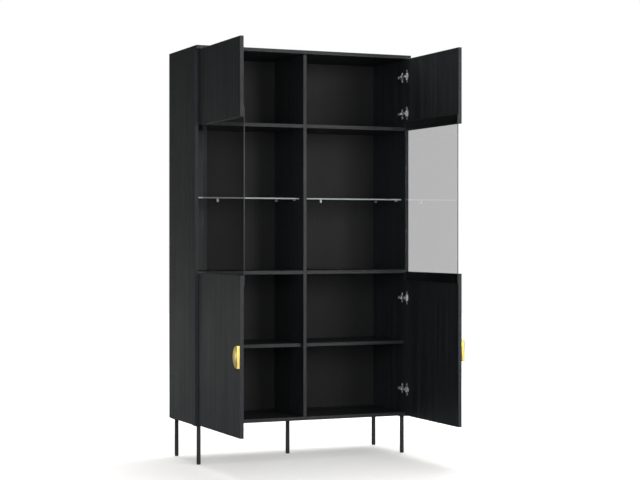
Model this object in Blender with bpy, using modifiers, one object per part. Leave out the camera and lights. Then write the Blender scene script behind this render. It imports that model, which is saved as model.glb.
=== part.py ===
"""Two-door china cabinet on five steel legs.

Black board carcass with a centre divider, two full-height doors with a
smoked glass pane let in between two solid panels, glass and board shelves,
cup hinges and half-moon pulls. The doors stand open at a right angle.

Frame: X to the right, Y to the back, Z up, metres. The origin is on the
floor, in the middle of the centre leg's foot.
"""
import math

import bmesh
import bpy
from mathutils import Matrix, Vector

# Carcass
WIDTH = 1.050
BODY_HEIGHT = 1.670
SIDE_DEPTH = 0.362
BOARD = 0.016
TOP_OVERHANG = 0.021
EDGE_RADIUS = 0.0006
FIT = 0.0003

# Back panel, held in grooves
BACK = 0.003
BACK_FRONT = 0.352
GROOVE_DEPTH = 0.005

# Shelves, as heights above the underside of the carcass
MIDDLE_SHELF_TOP = 0.677
UPPER_SHELF_TOP = 1.3375
LOOSE_SHELF_TOP = 0.3475
LOOSE_SHELF_SETBACK = 0.022
LOOSE_SHELF_PLAY = 0.001
GLASS_SHELF_TOP = 1.006
GLASS_SHELF = 0.006
GLASS_SHELF_SETBACK = 0.045
GLASS_SHELF_PLAY = 0.0015

# Shelf pins and the clip light on each glass shelf
PIN_RADIUS = 0.0025
PIN_REACH = 0.012
PIN_SEAT = 0.010
PIN_FROM_FRONT = 0.050
PIN_FROM_BACK = 0.037
CLIP_FROM_WALL = 0.216
CLIP_SIZE = (0.007, 0.016, 0.016)
CLIP_DROP = 0.003
CLIP_JAW = 0.0135

# Legs
LEG_HEIGHT = 0.175
LEG = 0.015
LEG_PLATE = (0.046, 0.046, 0.0025)
LEG_INSET_X = 0.0256
FRONT_LEG_Y = 0.024
REAR_LEG_Y = 0.331
CENTRE_LEG_Y = 0.208

# Doors, described closed
DOOR_REVEAL = 0.002
DOOR_MEETING_GAP = 0.004
DOOR_BOTTOM = 0.002
DOOR_TOP_GAP = 0.002
DOOR_TO_BODY = 0.005
LOWER_PANEL_TOP = 0.669
UPPER_PANEL_BOTTOM = 1.321
PANE = 0.004
PANE_LAP = 0.042
PANE_INSET = 0.015
OPEN_ANGLE = math.radians(90.0)

# Cup hinges: the door turns about one line that stands for the four-bar
PIVOT_FROM_SIDE = 0.0112
PIVOT_FORWARD = 0.0212
UPPER_HINGE_OFFSET = 0.080
LOWER_HINGE_OFFSET = 0.122
CUP_FROM_EDGE = 0.0215
CUP_RADIUS = 0.0173
CUP_DEPTH = 0.0124
CUP_WALL = 0.0009
CUP_WINGS = (0.017, 0.062, 0.0009)
ARM_PIN = (0.0405, -0.0010)
CUP_PIN_RADIUS = 0.0115
LINK = 0.0014
LINK_HEIGHT = 0.009

# Pulls
PULL_RADIUS = 0.0465
PULL_CENTRE = 0.3355
PULL_STANDOFF = 0.015
PULL_PLATE = 0.0025
PULL_FLANGE = 0.003
PULL_FOOT = 0.014

# Derived
FRONT_Y = -CENTRE_LEG_Y
INNER_HALF = WIDTH / 2 - BOARD
DOOR_WIDTH = WIDTH / 2 - DOOR_REVEAL - DOOR_MEETING_GAP / 2
DOOR_TOP = BODY_HEIGHT - BOARD - DOOR_TOP_GAP
DOOR_THICKNESS = TOP_OVERHANG - DOOR_TO_BODY
SIDES = {"left": -1, "right": 1}
HINGE_HEIGHTS = (
    DOOR_BOTTOM + LOWER_HINGE_OFFSET,
    LOWER_PANEL_TOP - LOWER_HINGE_OFFSET,
    UPPER_PANEL_BOTTOM + UPPER_HINGE_OFFSET,
    DOOR_TOP - UPPER_HINGE_OFFSET,
)


# ---------------------------------------------------------------- helpers
def clear_scene():
    for obj in list(bpy.data.objects):
        bpy.data.objects.remove(obj, do_unlink=True)


def new_collection(name):
    collection = bpy.data.collections.new(name)
    bpy.context.scene.collection.children.link(collection)
    return collection


def new_material(name, colour, roughness, metallic=0.0):
    material = bpy.data.materials.new(name)
    material.use_nodes = True
    shader = material.node_tree.nodes["Principled BSDF"]
    shader.inputs["Base Color"].default_value = (*colour, 1.0)
    shader.inputs["Roughness"].default_value = roughness
    shader.inputs["Metallic"].default_value = metallic
    material.diffuse_color = (*colour, 1.0)
    return material


def world_y(depth):
    """Depth behind the front edges of the sides, as a world Y."""
    return FRONT_Y + depth


def world_z(height):
    """Height above the underside of the carcass, as a world Z."""
    return LEG_HEIGHT + height


def add_object(name, mesh, place, material, parent=None):
    obj = bpy.data.objects.new(name, mesh)
    obj.location = place
    obj.parent = parent
    if material is not None and not mesh.materials:
        mesh.materials.append(material)
    PARTS.objects.link(obj)
    return obj


def box_mesh(name, size):
    mesh = bpy.data.meshes.new(name)
    body = bmesh.new()
    bmesh.ops.create_cube(body, size=1.0, matrix=Matrix.Diagonal((*size, 1.0)))
    body.to_mesh(mesh)
    body.free()
    return mesh


def cylinder_mesh(name, radius, length, segments=24):
    """A cylinder about its own Z."""
    mesh = bpy.data.meshes.new(name)
    body = bmesh.new()
    bmesh.ops.create_cone(
        body, cap_ends=True, segments=segments, radius1=radius, radius2=radius, depth=length
    )
    body.to_mesh(mesh)
    body.free()
    return mesh


def outline_mesh(name, points, thickness):
    """A flat outline in XY, thickened equally above and below Z = 0."""
    curve = bpy.data.curves.new(name, "CURVE")
    curve.dimensions = "2D"
    curve.fill_mode = "BOTH"
    curve.extrude = thickness / 2
    spline = curve.splines.new("POLY")
    spline.points.add(len(points) - 1)
    for point, (x, y) in zip(spline.points, points):
        point.co = (x, y, 0.0, 1.0)
    spline.use_cyclic_u = True
    guide = bpy.data.objects.new(name, curve)
    bpy.context.scene.collection.objects.link(guide)
    depsgraph = bpy.context.evaluated_depsgraph_get()
    mesh = bpy.data.meshes.new_from_object(guide.evaluated_get(depsgraph))
    bpy.data.objects.remove(guide, do_unlink=True)
    body = bmesh.new()
    body.from_mesh(mesh)
    bmesh.ops.remove_doubles(body, verts=body.verts, dist=0.00001)
    bmesh.ops.recalc_face_normals(body, faces=body.faces)
    body.to_mesh(mesh)
    body.free()
    return mesh


def bevel(obj, width=EDGE_RADIUS, segments=1):
    modifier = obj.modifiers.new("edge_radius", "BEVEL")
    modifier.width = width
    modifier.segments = segments
    modifier.limit_method = "ANGLE"
    modifier.angle_limit = math.radians(40)


def cutter(name, mesh, place, parent=None):
    tool = bpy.data.objects.new(name, mesh)
    tool.location = place
    tool.parent = parent
    tool.hide_render = True
    tool.display_type = "WIRE"
    CUTTERS.objects.link(tool)
    return tool


def cut(obj, tool, operation="DIFFERENCE"):
    modifier = obj.modifiers.new(operation.lower(), "BOOLEAN")
    modifier.operation = operation
    modifier.solver = "EXACT"
    modifier.object = tool


def solid_mesh(name, start, steps):
    """One closed mesh from a first mesh and (operation, mesh, place) steps."""
    base = bpy.data.objects.new(name, start)
    bpy.context.scene.collection.objects.link(base)
    tools = []
    for operation, mesh, place in steps:
        tool = bpy.data.objects.new(name + "_step", mesh)
        tool.location = place
        bpy.context.scene.collection.objects.link(tool)
        cut(base, tool, operation)
        tools.append(tool)
    depsgraph = bpy.context.evaluated_depsgraph_get()
    result = bpy.data.meshes.new_from_object(base.evaluated_get(depsgraph))
    result.name = name
    for obj in [base, *tools]:
        bpy.data.objects.remove(obj, do_unlink=True)
    return result


def arc(centre, radius, start, end, steps):
    """Points along an arc, angles in degrees."""
    points = []
    for step in range(steps + 1):
        angle = math.radians(start + (end - start) * step / steps)
        points.append((centre[0] + radius * math.cos(angle), centre[1] + radius * math.sin(angle)))
    return points


def board(name, low, high, material, parent=None):
    """A board between two corners, with softened edges."""
    low, high = Vector(low), Vector(high)
    obj = add_object(name, box_mesh(name, high - low), (low + high) / 2, material, parent)
    bevel(obj)
    return obj


# ---------------------------------------------------------------- carcass
def build_carcass():
    back_low = BACK_FRONT - FIT
    back_high = BACK_FRONT + BACK + FIT
    groove_y = world_y((back_low + back_high) / 2)
    groove_width = back_high - back_low
    shelf_back = world_y(BACK_FRONT - FIT)

    top = board(
        "top_panel",
        (-WIDTH / 2, world_y(-TOP_OVERHANG), world_z(BODY_HEIGHT - BOARD)),
        (WIDTH / 2, world_y(SIDE_DEPTH), world_z(BODY_HEIGHT)),
        BLACK_OAK,
    )
    bottom = board(
        "bottom_panel",
        (-INNER_HALF + FIT, world_y(0.0), world_z(0.0)),
        (INNER_HALF - FIT, world_y(SIDE_DEPTH), world_z(BOARD)),
        BLACK_OAK,
    )
    for panel, face in ((top, BODY_HEIGHT - BOARD), (bottom, BOARD)):
        size = (2 * (INNER_HALF + GROOVE_DEPTH), groove_width, 2 * GROOVE_DEPTH)
        groove = box_mesh("groove", size)
        cut(panel, cutter(panel.name + "_groove", groove, (0.0, groove_y, world_z(face))))

    for side, s in SIDES.items():
        outer = s * WIDTH / 2
        inner = s * INNER_HALF
        gable = board(
            side + "_side",
            (min(outer, inner), world_y(0.0), world_z(0.0)),
            (max(outer, inner), world_y(SIDE_DEPTH), world_z(BODY_HEIGHT - BOARD - FIT)),
            BLACK_OAK,
        )
        groove = box_mesh("groove", (2 * GROOVE_DEPTH, groove_width, BODY_HEIGHT * 1.02))
        middle = world_z(BOARD - GROOVE_DEPTH + BODY_HEIGHT * 0.51)
        cut(gable, cutter(side + "_side_groove", groove, (inner, groove_y, middle)))

    board(
        "centre_divider",
        (-BOARD / 2, world_y(0.0), world_z(BOARD + FIT)),
        (BOARD / 2, shelf_back, world_z(BODY_HEIGHT - BOARD - FIT)),
        BLACK_OAK,
    )
    reach = INNER_HALF + GROOVE_DEPTH - 2 * FIT
    back = add_object(
        "back_panel",
        box_mesh("back_panel", (2 * reach, BACK, BODY_HEIGHT - 2 * (BOARD - GROOVE_DEPTH) - 4 * FIT)),
        (0.0, world_y(BACK_FRONT + BACK / 2), world_z(BODY_HEIGHT / 2)),
        BACK_BOARD,
    )
    bevel(back, 0.0002)

    for side, s in SIDES.items():
        near = s * (BOARD / 2 + FIT)
        far = s * (INNER_HALF - FIT)
        for level, top_height in (("middle", MIDDLE_SHELF_TOP), ("upper", UPPER_SHELF_TOP)):
            board(
                f"{side}_{level}_shelf",
                (min(near, far), world_y(0.0), world_z(top_height - BOARD)),
                (max(near, far), shelf_back, world_z(top_height)),
                BLACK_OAK,
            )


# ---------------------------------------------------------------- shelves
def build_loose_shelves():
    for side, s in SIDES.items():
        near = s * (BOARD / 2 + LOOSE_SHELF_PLAY)
        far = s * (INNER_HALF - LOOSE_SHELF_PLAY)
        board(
            side + "_board_shelf",
            (min(near, far), world_y(LOOSE_SHELF_SETBACK), world_z(LOOSE_SHELF_TOP - BOARD)),
            (max(near, far), world_y(BACK_FRONT - 0.002), world_z(LOOSE_SHELF_TOP)),
            BLACK_OAK,
        )
        near = s * (BOARD / 2 + GLASS_SHELF_PLAY)
        far = s * (INNER_HALF - GLASS_SHELF_PLAY)
        pane = board(
            side + "_glass_shelf",
            (min(near, far), world_y(GLASS_SHELF_SETBACK), world_z(GLASS_SHELF_TOP - GLASS_SHELF)),
            (max(near, far), world_y(BACK_FRONT - 0.004), world_z(GLASS_SHELF_TOP)),
            CLEAR_GLASS,
        )
        pane.modifiers["edge_radius"].width = 0.0008


def build_shelf_pins():
    """Round pins under the glass shelves; the divider's pins go right through.

    The wooden shelves' pins sit in the second, lower row of holes."""
    height = world_z(GLASS_SHELF_TOP - GLASS_SHELF - FIT) - PIN_RADIUS
    lower_height = world_z(LOOSE_SHELF_TOP - BOARD - FIT) - PIN_RADIUS
    rows = {
        "front": world_y(GLASS_SHELF_SETBACK + PIN_FROM_FRONT),
        "rear": world_y(BACK_FRONT - PIN_FROM_BACK),
    }
    turn = Matrix.Rotation(math.radians(90), 4, "Y")
    side_pin = cylinder_mesh("side_pin", PIN_RADIUS, PIN_REACH + PIN_SEAT, 16)
    side_pin.transform(turn)
    through_pin = cylinder_mesh("through_pin", PIN_RADIUS, 2 * PIN_REACH + BOARD, 16)
    through_pin.transform(turn)
    hole = cylinder_mesh("pin_hole", PIN_RADIUS + FIT, 2 * (PIN_SEAT + FIT), 16)
    hole.transform(turn)
    through_hole = cylinder_mesh("through_hole", PIN_RADIUS + FIT, 2 * BOARD, 16)
    through_hole.transform(turn)
    divider = bpy.data.objects["centre_divider"]
    for row, y in rows.items():
        for side, s in SIDES.items():
            wall = s * INNER_HALF
            x = wall + s * (PIN_SEAT - PIN_REACH) / 2
            add_object(f"{side}_{row}_shelf_pin", side_pin, (x, y, height), NICKEL)
            gable = bpy.data.objects[side + "_side"]
            for level, z in (("upper", height), ("lower", lower_height)):
                cut(gable, cutter(f"{side}_{row}_{level}_pin_hole", hole, (wall, y, z)))
        add_object(f"divider_{row}_shelf_pin", through_pin, (0.0, y, height), NICKEL)
        for level, z in (("upper", height), ("lower", lower_height)):
            cut(divider, cutter(f"divider_{row}_{level}_pin_hole", through_hole, (0.0, y, z)))


def build_clip_lights():
    """A small metal clip pushed over the rear edge of each glass shelf."""
    width, length, height = CLIP_SIZE
    slot = box_mesh("slot", (2 * width, length, GLASS_SHELF + 2 * FIT))
    mesh = solid_mesh(
        "clip_light",
        box_mesh("clip_body", CLIP_SIZE),
        [("DIFFERENCE", slot, (0.0, CLIP_JAW - length, CLIP_DROP))],
    )
    rear_edge = world_y(BACK_FRONT - 0.004)
    y = rear_edge + FIT + length / 2 - CLIP_JAW
    z = world_z(GLASS_SHELF_TOP - GLASS_SHELF / 2) - CLIP_DROP
    for side, s in SIDES.items():
        left_wall = -INNER_HALF if s < 0 else BOARD / 2
        add_object(side + "_clip_light", mesh, (left_wall + CLIP_FROM_WALL, y, z), NICKEL)


# ---------------------------------------------------------------- legs
def build_legs():
    """Square steel posts, each welded under a plate that screws to the bottom."""
    top = LEG_HEIGHT - FIT
    post = top - LEG_PLATE[2] / 2
    tube = box_mesh("leg_tube", (LEG, LEG, post))
    tube.transform(Matrix.Translation((0.0, 0.0, post / 2)))
    plate = box_mesh("leg_plate", LEG_PLATE)
    mesh = solid_mesh("leg", tube, [("UNION", plate, (0.0, 0.0, top - LEG_PLATE[2] / 2))])
    spots = {"centre_leg": (0.0, CENTRE_LEG_Y)}
    for side, s in SIDES.items():
        x = s * (WIDTH / 2 - LEG_INSET_X)
        spots[f"front_{side}_leg"] = (x, FRONT_LEG_Y)
        spots[f"rear_{side}_leg"] = (x, REAR_LEG_Y)
    for name, (x, depth) in spots.items():
        add_object(name, mesh, (x, world_y(depth), 0.0), LEG_STEEL)


# ---------------------------------------------------------------- hinges
def cup_mesh():
    """Pressed hinge cup with two screw wings; its mouth faces +Y at Y = 0."""
    wing_x, wing_z, wing_t = CUP_WINGS
    lift = FIT + wing_t / 2
    bore_depth = CUP_DEPTH - CUP_WALL
    body_length = CUP_DEPTH + FIT + wing_t / 2
    body = cylinder_mesh("cup_body", CUP_RADIUS, body_length)
    rim = cylinder_mesh("cup_rim", CUP_RADIUS + 0.0011, wing_t * 0.8)
    wings = box_mesh("cup_wings", (wing_x, wing_z, wing_t))
    mouth = cylinder_mesh("cup_mouth", CUP_RADIUS - CUP_WALL, 2 * bore_depth)
    mesh = solid_mesh(
        "hinge_cup",
        rim,
        [
            ("UNION", wings, (0.0, 0.0, 0.0)),
            ("UNION", body, (0.0, 0.0, -lift - CUP_DEPTH + body_length / 2)),
            ("DIFFERENCE", mouth, (0.0, 0.0, -lift)),
        ],
    )
    mesh.transform(Matrix.Translation((0.0, 0.0, lift)))
    mesh.transform(Matrix.Rotation(math.radians(-90), 4, "X"))
    return mesh


def arm_mesh(s):
    """Hinge arm on its cross-shaped mounting plate, seen with the side at X = 0.

    X grows away from the side board into the cabinet and Y to the back."""
    inward = -s
    pin = (ARM_PIN[0] - BOARD, ARM_PIN[1])
    arm = [(0.0030, 0.0525), (0.0030, 0.0160), (0.0080, 0.0070)]
    arm += arc(pin, 0.0023, 215, 350, 7)
    arm += [(0.0272, 0.0040), (0.0215, 0.0220), (0.0150, 0.0400)]
    arm += arc((0.0110, 0.0540), 0.0040, 10, 170, 6)
    arm = [(inward * x, y) for x, y in arm]
    foot_t = 0.0035
    steps = [
        ("UNION", box_mesh("plate_wings", (0.0020, 0.0140, 0.0480)), (inward * 0.0013, 0.0370, 0.0)),
        ("UNION", box_mesh("plate_foot", (foot_t, 0.0340, 0.0170)), (inward * (FIT + foot_t / 2), 0.037, 0.0)),
        ("DIFFERENCE", box_mesh("link_slot", (0.0200, 0.0130, 0.0100)), (inward * 0.0265, -0.0010, 0.0)),
        ("UNION", cylinder_mesh("arm_pin", 0.00095, 0.0120, 12), (inward * pin[0], pin[1], 0.0)),
    ]
    return solid_mesh("hinge_arm", outline_mesh("arm", arm, 0.0130), steps)


def link_path(s):
    """The link's centre line with the door open, from the arm pin to the cup."""
    pivot = Vector((PIVOT_FROM_SIDE, -PIVOT_FORWARD))
    pin = Vector(ARM_PIN)
    towards = pin - pivot
    angle = math.atan2(towards.y, towards.x) - math.radians(45)
    end = pivot + CUP_PIN_RADIUS * Vector((math.cos(angle), math.sin(angle)))
    run = end - pin
    side = Vector((-run.y, run.x)).normalized()
    elbow = pin + run * 0.84 + side * 0.006
    return [Vector((-s * (p.x - pin.x), p.y - pin.y)) for p in (pin, elbow, end)]


def link_mesh(s):
    """Bent hinge link with an eye at the origin, as a solidified strip."""
    body = bmesh.new()
    strip = []
    for height in (-LINK_HEIGHT / 2, LINK_HEIGHT / 2):
        strip.append([body.verts.new((p.x, p.y, height)) for p in link_path(s)])
    for low, high in zip(zip(strip[0], strip[0][1:]), zip(strip[1], strip[1][1:])):
        body.faces.new((low[0], low[1], high[1], high[0]))
    mesh = bpy.data.meshes.new("link_strip")
    body.to_mesh(mesh)
    body.free()
    strap = bpy.data.objects.new("link_strap", mesh)
    bpy.context.scene.collection.objects.link(strap)
    wall = strap.modifiers.new("sheet", "SOLIDIFY")
    wall.thickness = LINK
    wall.offset = 0.0
    depsgraph = bpy.context.evaluated_depsgraph_get()
    sheet = bpy.data.meshes.new_from_object(strap.evaluated_get(depsgraph))
    bpy.data.objects.remove(strap, do_unlink=True)
    body = bmesh.new()
    body.from_mesh(sheet)
    bmesh.ops.recalc_face_normals(body, faces=body.faces)
    body.to_mesh(sheet)
    body.free()
    eye = cylinder_mesh("eye", 0.0020, LINK_HEIGHT, 16)
    hole = cylinder_mesh("eye_hole", 0.00125, 2 * LINK_HEIGHT, 16)
    origin = (0.0, 0.0, 0.0)
    return solid_mesh("hinge_link", eye, [("UNION", sheet, origin), ("DIFFERENCE", hole, origin)])


def build_arms_and_links():
    for side, s in SIDES.items():
        arms = arm_mesh(s)
        links = link_mesh(s)
        wall = s * INNER_HALF
        pins = bpy.data.objects.new(side + "_link_axis", None)
        pins.location = (s * (WIDTH / 2 - ARM_PIN[0]), world_y(ARM_PIN[1]), world_z(0.0))
        PARTS.objects.link(pins)
        for number, height in enumerate(HINGE_HEIGHTS, 1):
            place = (wall, world_y(0.0), world_z(height))
            add_object(f"{side}_hinge_arm_{number}", arms, place, NICKEL)
            add_object(f"{side}_hinge_link_{number}", links, (0.0, 0.0, height), NICKEL, pins)


# ---------------------------------------------------------------- doors
def pull_mesh(s):
    """Half-moon pull at the origin: chord on the door's free edge, grip in front.

    X grows towards the free edge, Y to the back, with the door's face at Y = 0."""
    inward = -s
    half = PULL_RADIUS
    moon = [(-inward * x, z) for x, z in arc((0.0, 0.0), half, 90, -90, 20)]
    plate = outline_mesh("pull_plate", moon, PULL_PLATE)
    plate.transform(Matrix.Rotation(math.radians(90), 4, "X"))
    plate.transform(Matrix.Translation((0.0, -PULL_STANDOFF - FIT + PULL_PLATE / 2, 0.0)))
    flange = box_mesh("pull_flange", (PULL_FLANGE, PULL_STANDOFF, 2 * half))
    foot = box_mesh("pull_foot", (PULL_FOOT, 0.0020, 1.6 * half))
    steps = [
        ("UNION", flange, (-inward * PULL_FLANGE / 2, -FIT - PULL_STANDOFF / 2, 0.0)),
        ("UNION", foot, (-inward * PULL_FOOT / 2, -FIT - 0.0010, 0.0)),
    ]
    return solid_mesh("pull", plate, steps)


def build_doors():
    cup = cup_mesh()
    bore = cylinder_mesh("cup_bore", CUP_RADIUS + FIT, 2 * (CUP_DEPTH + FIT))
    bore.transform(Matrix.Rotation(math.radians(90), 4, "X"))
    outer_face = PIVOT_FORWARD - TOP_OVERHANG
    inner_face = outer_face + DOOR_THICKNESS
    hinge_edge = DOOR_REVEAL - PIVOT_FROM_SIDE
    free_edge = hinge_edge + DOOR_WIDTH
    for side, s in SIDES.items():
        axis = bpy.data.objects.new(side + "_door_axis", None)
        axis.location = (s * (WIDTH / 2 - PIVOT_FROM_SIDE), world_y(-PIVOT_FORWARD), world_z(0.0))
        axis.rotation_euler = (0.0, 0.0, s * OPEN_ANGLE)
        PARTS.objects.link(axis)

        def span(start, end):
            """Left and right limits of a stretch measured from the axis."""
            return min(-s * start, -s * end), max(-s * start, -s * end)

        low_x, high_x = span(hinge_edge, free_edge)
        panels = {
            "lower": (DOOR_BOTTOM, LOWER_PANEL_TOP, HINGE_HEIGHTS[:2]),
            "upper": (UPPER_PANEL_BOTTOM, DOOR_TOP, HINGE_HEIGHTS[2:]),
        }
        number = 0
        for part, (low, high, heights) in panels.items():
            panel = board(
                f"{side}_door_{part}_panel",
                (low_x, outer_face, low),
                (high_x, inner_face, high),
                BLACK_OAK,
                axis,
            )
            for height in heights:
                number += 1
                place = (-s * (hinge_edge + CUP_FROM_EDGE), inner_face, height)
                add_object(f"{side}_hinge_cup_{number}", cup, place, NICKEL, axis)
                cut(panel, cutter(f"{side}_cup_bore_{number}", bore, place, axis))

        low_x, high_x = span(hinge_edge + PANE_INSET, free_edge - 0.0005)
        pane = board(
            side + "_door_glass",
            (low_x, inner_face + FIT, LOWER_PANEL_TOP - PANE_LAP),
            (high_x, inner_face + FIT + PANE, UPPER_PANEL_BOTTOM + PANE_LAP),
            SMOKED_GLASS,
            axis,
        )
        pane.modifiers["edge_radius"].width = 0.0005
        place = (-s * free_edge, outer_face, PULL_CENTRE)
        add_object(side + "_pull", pull_mesh(s), place, GOLD, axis)


clear_scene()
PARTS = new_collection("china_cabinet")
CUTTERS = new_collection("cutters")
BLACK_OAK = new_material("black_oak_board", (0.012, 0.012, 0.013), 0.42)
BACK_BOARD = new_material("back_board", (0.016, 0.014, 0.013), 0.5)
SMOKED_GLASS = new_material("smoked_glass", (0.10, 0.10, 0.11), 0.03)
CLEAR_GLASS = new_material("shelf_glass", (0.62, 0.68, 0.66), 0.03)
LEG_STEEL = new_material("black_steel", (0.010, 0.010, 0.010), 0.45, 0.3)
NICKEL = new_material("nickel", (0.62, 0.60, 0.57), 0.25, 1.0)
GOLD = new_material("brushed_gold", (0.72, 0.52, 0.22), 0.28, 1.0)

build_carcass()
build_loose_shelves()
build_shelf_pins()
build_clip_lights()
build_legs()
build_arms_and_links()
build_doors()
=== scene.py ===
"""Looks of the black oak china cabinet with smoked glass doors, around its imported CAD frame."""

import math

import bmesh
import bpy
from mathutils import Matrix, Vector


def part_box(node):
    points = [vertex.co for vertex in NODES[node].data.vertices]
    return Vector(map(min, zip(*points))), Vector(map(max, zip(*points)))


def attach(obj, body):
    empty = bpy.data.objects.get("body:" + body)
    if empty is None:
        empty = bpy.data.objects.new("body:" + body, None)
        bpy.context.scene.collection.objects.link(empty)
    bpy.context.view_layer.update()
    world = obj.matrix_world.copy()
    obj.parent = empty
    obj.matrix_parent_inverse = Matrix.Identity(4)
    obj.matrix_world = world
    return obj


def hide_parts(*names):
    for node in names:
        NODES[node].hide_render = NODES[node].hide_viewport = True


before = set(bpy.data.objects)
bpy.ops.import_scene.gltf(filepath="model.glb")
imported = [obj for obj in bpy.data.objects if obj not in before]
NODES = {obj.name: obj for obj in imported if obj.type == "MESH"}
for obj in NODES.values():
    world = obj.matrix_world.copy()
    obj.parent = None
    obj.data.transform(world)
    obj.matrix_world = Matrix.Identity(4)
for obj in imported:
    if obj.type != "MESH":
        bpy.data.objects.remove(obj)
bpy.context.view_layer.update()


# ------------------------------------------------------------ camera
# A long lens, level with the middle of the cabinet, turned to see the left
# side and the inside of the right door.
camera_data = bpy.data.cameras.new("camera")
camera_data.lens = 90.1
camera_data.sensor_width = 36.0
camera = bpy.data.objects.new("camera", camera_data)
camera.location = (-2.8204, -6.8769, 0.9943)
camera.rotation_euler = (math.radians(89.966), 0.0, math.radians(-23.46))
bpy.context.scene.collection.objects.link(camera)
bpy.context.scene.camera = camera


# ------------------------------------------------------------ studio
# A white sweep under five softboxes: a warm and a cool one in front, a wide
# one overhead and two weak ones behind on the left. Floor and surround look
# white straight on and are much dimmer as bounced light. The floor's white is
# a painted glow that is weaker near the cabinet.
def add_node(tree, kind, inputs=None, **settings):
    """A node with its settings, its constants and its incoming links."""
    node = tree.nodes.new(kind)
    for name, value in settings.items():
        setattr(node, name, value)
    for name, value in (inputs or {}).items():
        if isinstance(value, bpy.types.NodeSocket):
            tree.links.new(value, node.inputs[name])
        else:
            node.inputs[name].default_value = value
    return node


def softbox(name, place, aim, size, power, colour):
    """A flat light of the given width and height, turned to shine from its place at aim."""
    light = bpy.data.lights.new(name, "AREA")
    light.shape = "RECTANGLE"
    light.size, light.size_y = size
    light.energy = power
    light.color = colour
    box = bpy.data.objects.new(name, light)
    box.location = place
    box.rotation_euler = (Vector(aim) - Vector(place)).to_track_quat("-Z", "Y").to_euler()
    bpy.context.scene.collection.objects.link(box)


bpy.context.scene.view_settings.view_transform = "Standard"
softbox("right_front_softbox", (1.9, -4.8, 1.75), (0.0, 0.0, 0.9), (2.2, 2.4), 110.0, (1.0, 0.99, 0.97))
softbox("left_front_softbox", (-2.7, -4.9, 1.4), (0.2, -0.4, 0.9), (1.8, 2.4), 122.0, (0.88, 0.94, 1.0))
softbox("left_rear_softbox", (-1.5, 4.4, 1.0), (-0.55, -0.3, 0.9), (0.95, 2.4), 3.6, (0.98, 1.0, 0.98))
softbox("low_rear_strip", (-2.45, 4.3, 0.22), (-0.52, -0.6, 0.4), (0.9, 0.42), 3.8, (1.0, 1.0, 0.96))
softbox("overhead_softbox", (0.7, 1.3, 4.5), (0.0, -0.5, 0.0), (4.4, 4.4), 260.0, (1.0, 1.0, 1.0))


def seen_directly(tree):
    """1 for what is seen without a bounce, even through glass, and 0 in bounced light."""
    path = add_node(tree, "ShaderNodeLightPath")
    bounces = add_node(tree, "ShaderNodeMath", {
        0: path.outputs["Glossy Depth"], 1: path.outputs["Diffuse Depth"],
    }, operation="ADD")
    return add_node(tree, "ShaderNodeMath", {0: bounces.outputs[0], 1: 0.5}, operation="LESS_THAN").outputs[0]


bright_side = (0.36, -0.85, 0.38)
world = bpy.data.worlds.new("white_surround")
bpy.context.scene.world = world
world.use_nodes = True
sky = world.node_tree
sky.nodes.clear()
heading = add_node(sky, "ShaderNodeTexCoord")
frontal = add_node(sky, "ShaderNodeVectorMath", {0: heading.outputs["Generated"], 1: bright_side},
                   operation="DOT_PRODUCT")
dimmed = add_node(sky, "ShaderNodeMapRange", {
    "Value": frontal.outputs["Value"], "From Min": -0.9, "From Max": 0.9, "To Min": 0.012, "To Max": 0.25,
})
ambient = add_node(sky, "ShaderNodeBackground", {
    "Color": (0.95, 0.98, 1.0, 1.0), "Strength": dimmed.outputs[0],
})
white = add_node(sky, "ShaderNodeBackground", {"Color": (1.0, 1.0, 1.0, 1.0), "Strength": 1.0})
surround = add_node(sky, "ShaderNodeMixShader", {
    0: seen_directly(sky), 1: ambient.outputs[0], 2: white.outputs[0],
})
add_node(sky, "ShaderNodeOutputWorld", {"Surface": surround.outputs[0]})

floor_mesh = bpy.data.meshes.new("floor")
disc = bmesh.new()
bmesh.ops.create_circle(disc, cap_ends=True, segments=96, radius=14.0)
disc.to_mesh(floor_mesh)
disc.free()
floor = bpy.data.objects.new("floor", floor_mesh)
bpy.context.scene.collection.objects.link(floor)
floor_paint = bpy.data.materials.new("pale_floor")
floor_paint.use_nodes = True
floor_tree = floor_paint.node_tree
shader = floor_tree.nodes["Principled BSDF"]
shader.inputs["Roughness"].default_value = 0.7
shader.inputs["Specular IOR Level"].default_value = 0.1
shader.inputs["Emission Color"].default_value = (1.0, 0.99, 0.98, 1.0)
spot = add_node(floor_tree, "ShaderNodeTexCoord")
reach = add_node(floor_tree, "ShaderNodeVectorMath", {0: spot.outputs["Object"]}, operation="LENGTH")
# The floor's painted glow is full white from 3.2 m out and falls to about a third near the cabinet. This
# leaves painted shade round the cabinet that joins the lamps' shadows.
glow_weaker_near_cabinet = add_node(floor_tree, "ShaderNodeMapRange", {
    "Value": reach.outputs["Value"], "From Min": 0.6, "From Max": 3.2, "To Min": 0.36, "To Max": 1.0,
}, interpolation_type="SMOOTHSTEP")
straight = seen_directly(floor_tree)
glow = add_node(floor_tree, "ShaderNodeMath", {0: glow_weaker_near_cabinet.outputs[0], 1: straight}, operation="MULTIPLY")
paint = add_node(floor_tree, "ShaderNodeMix", {
    "Factor": straight, "A": (0.25, 0.26, 0.28, 1.0), "B": (0.79, 0.775, 0.76, 1.0),
}, data_type="RGBA")
floor_tree.links.new(glow.outputs[0], shader.inputs["Emission Strength"])
floor_tree.links.new(paint.outputs["Result"], shader.inputs["Base Color"])
floor_mesh.materials.append(floor_paint)


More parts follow.
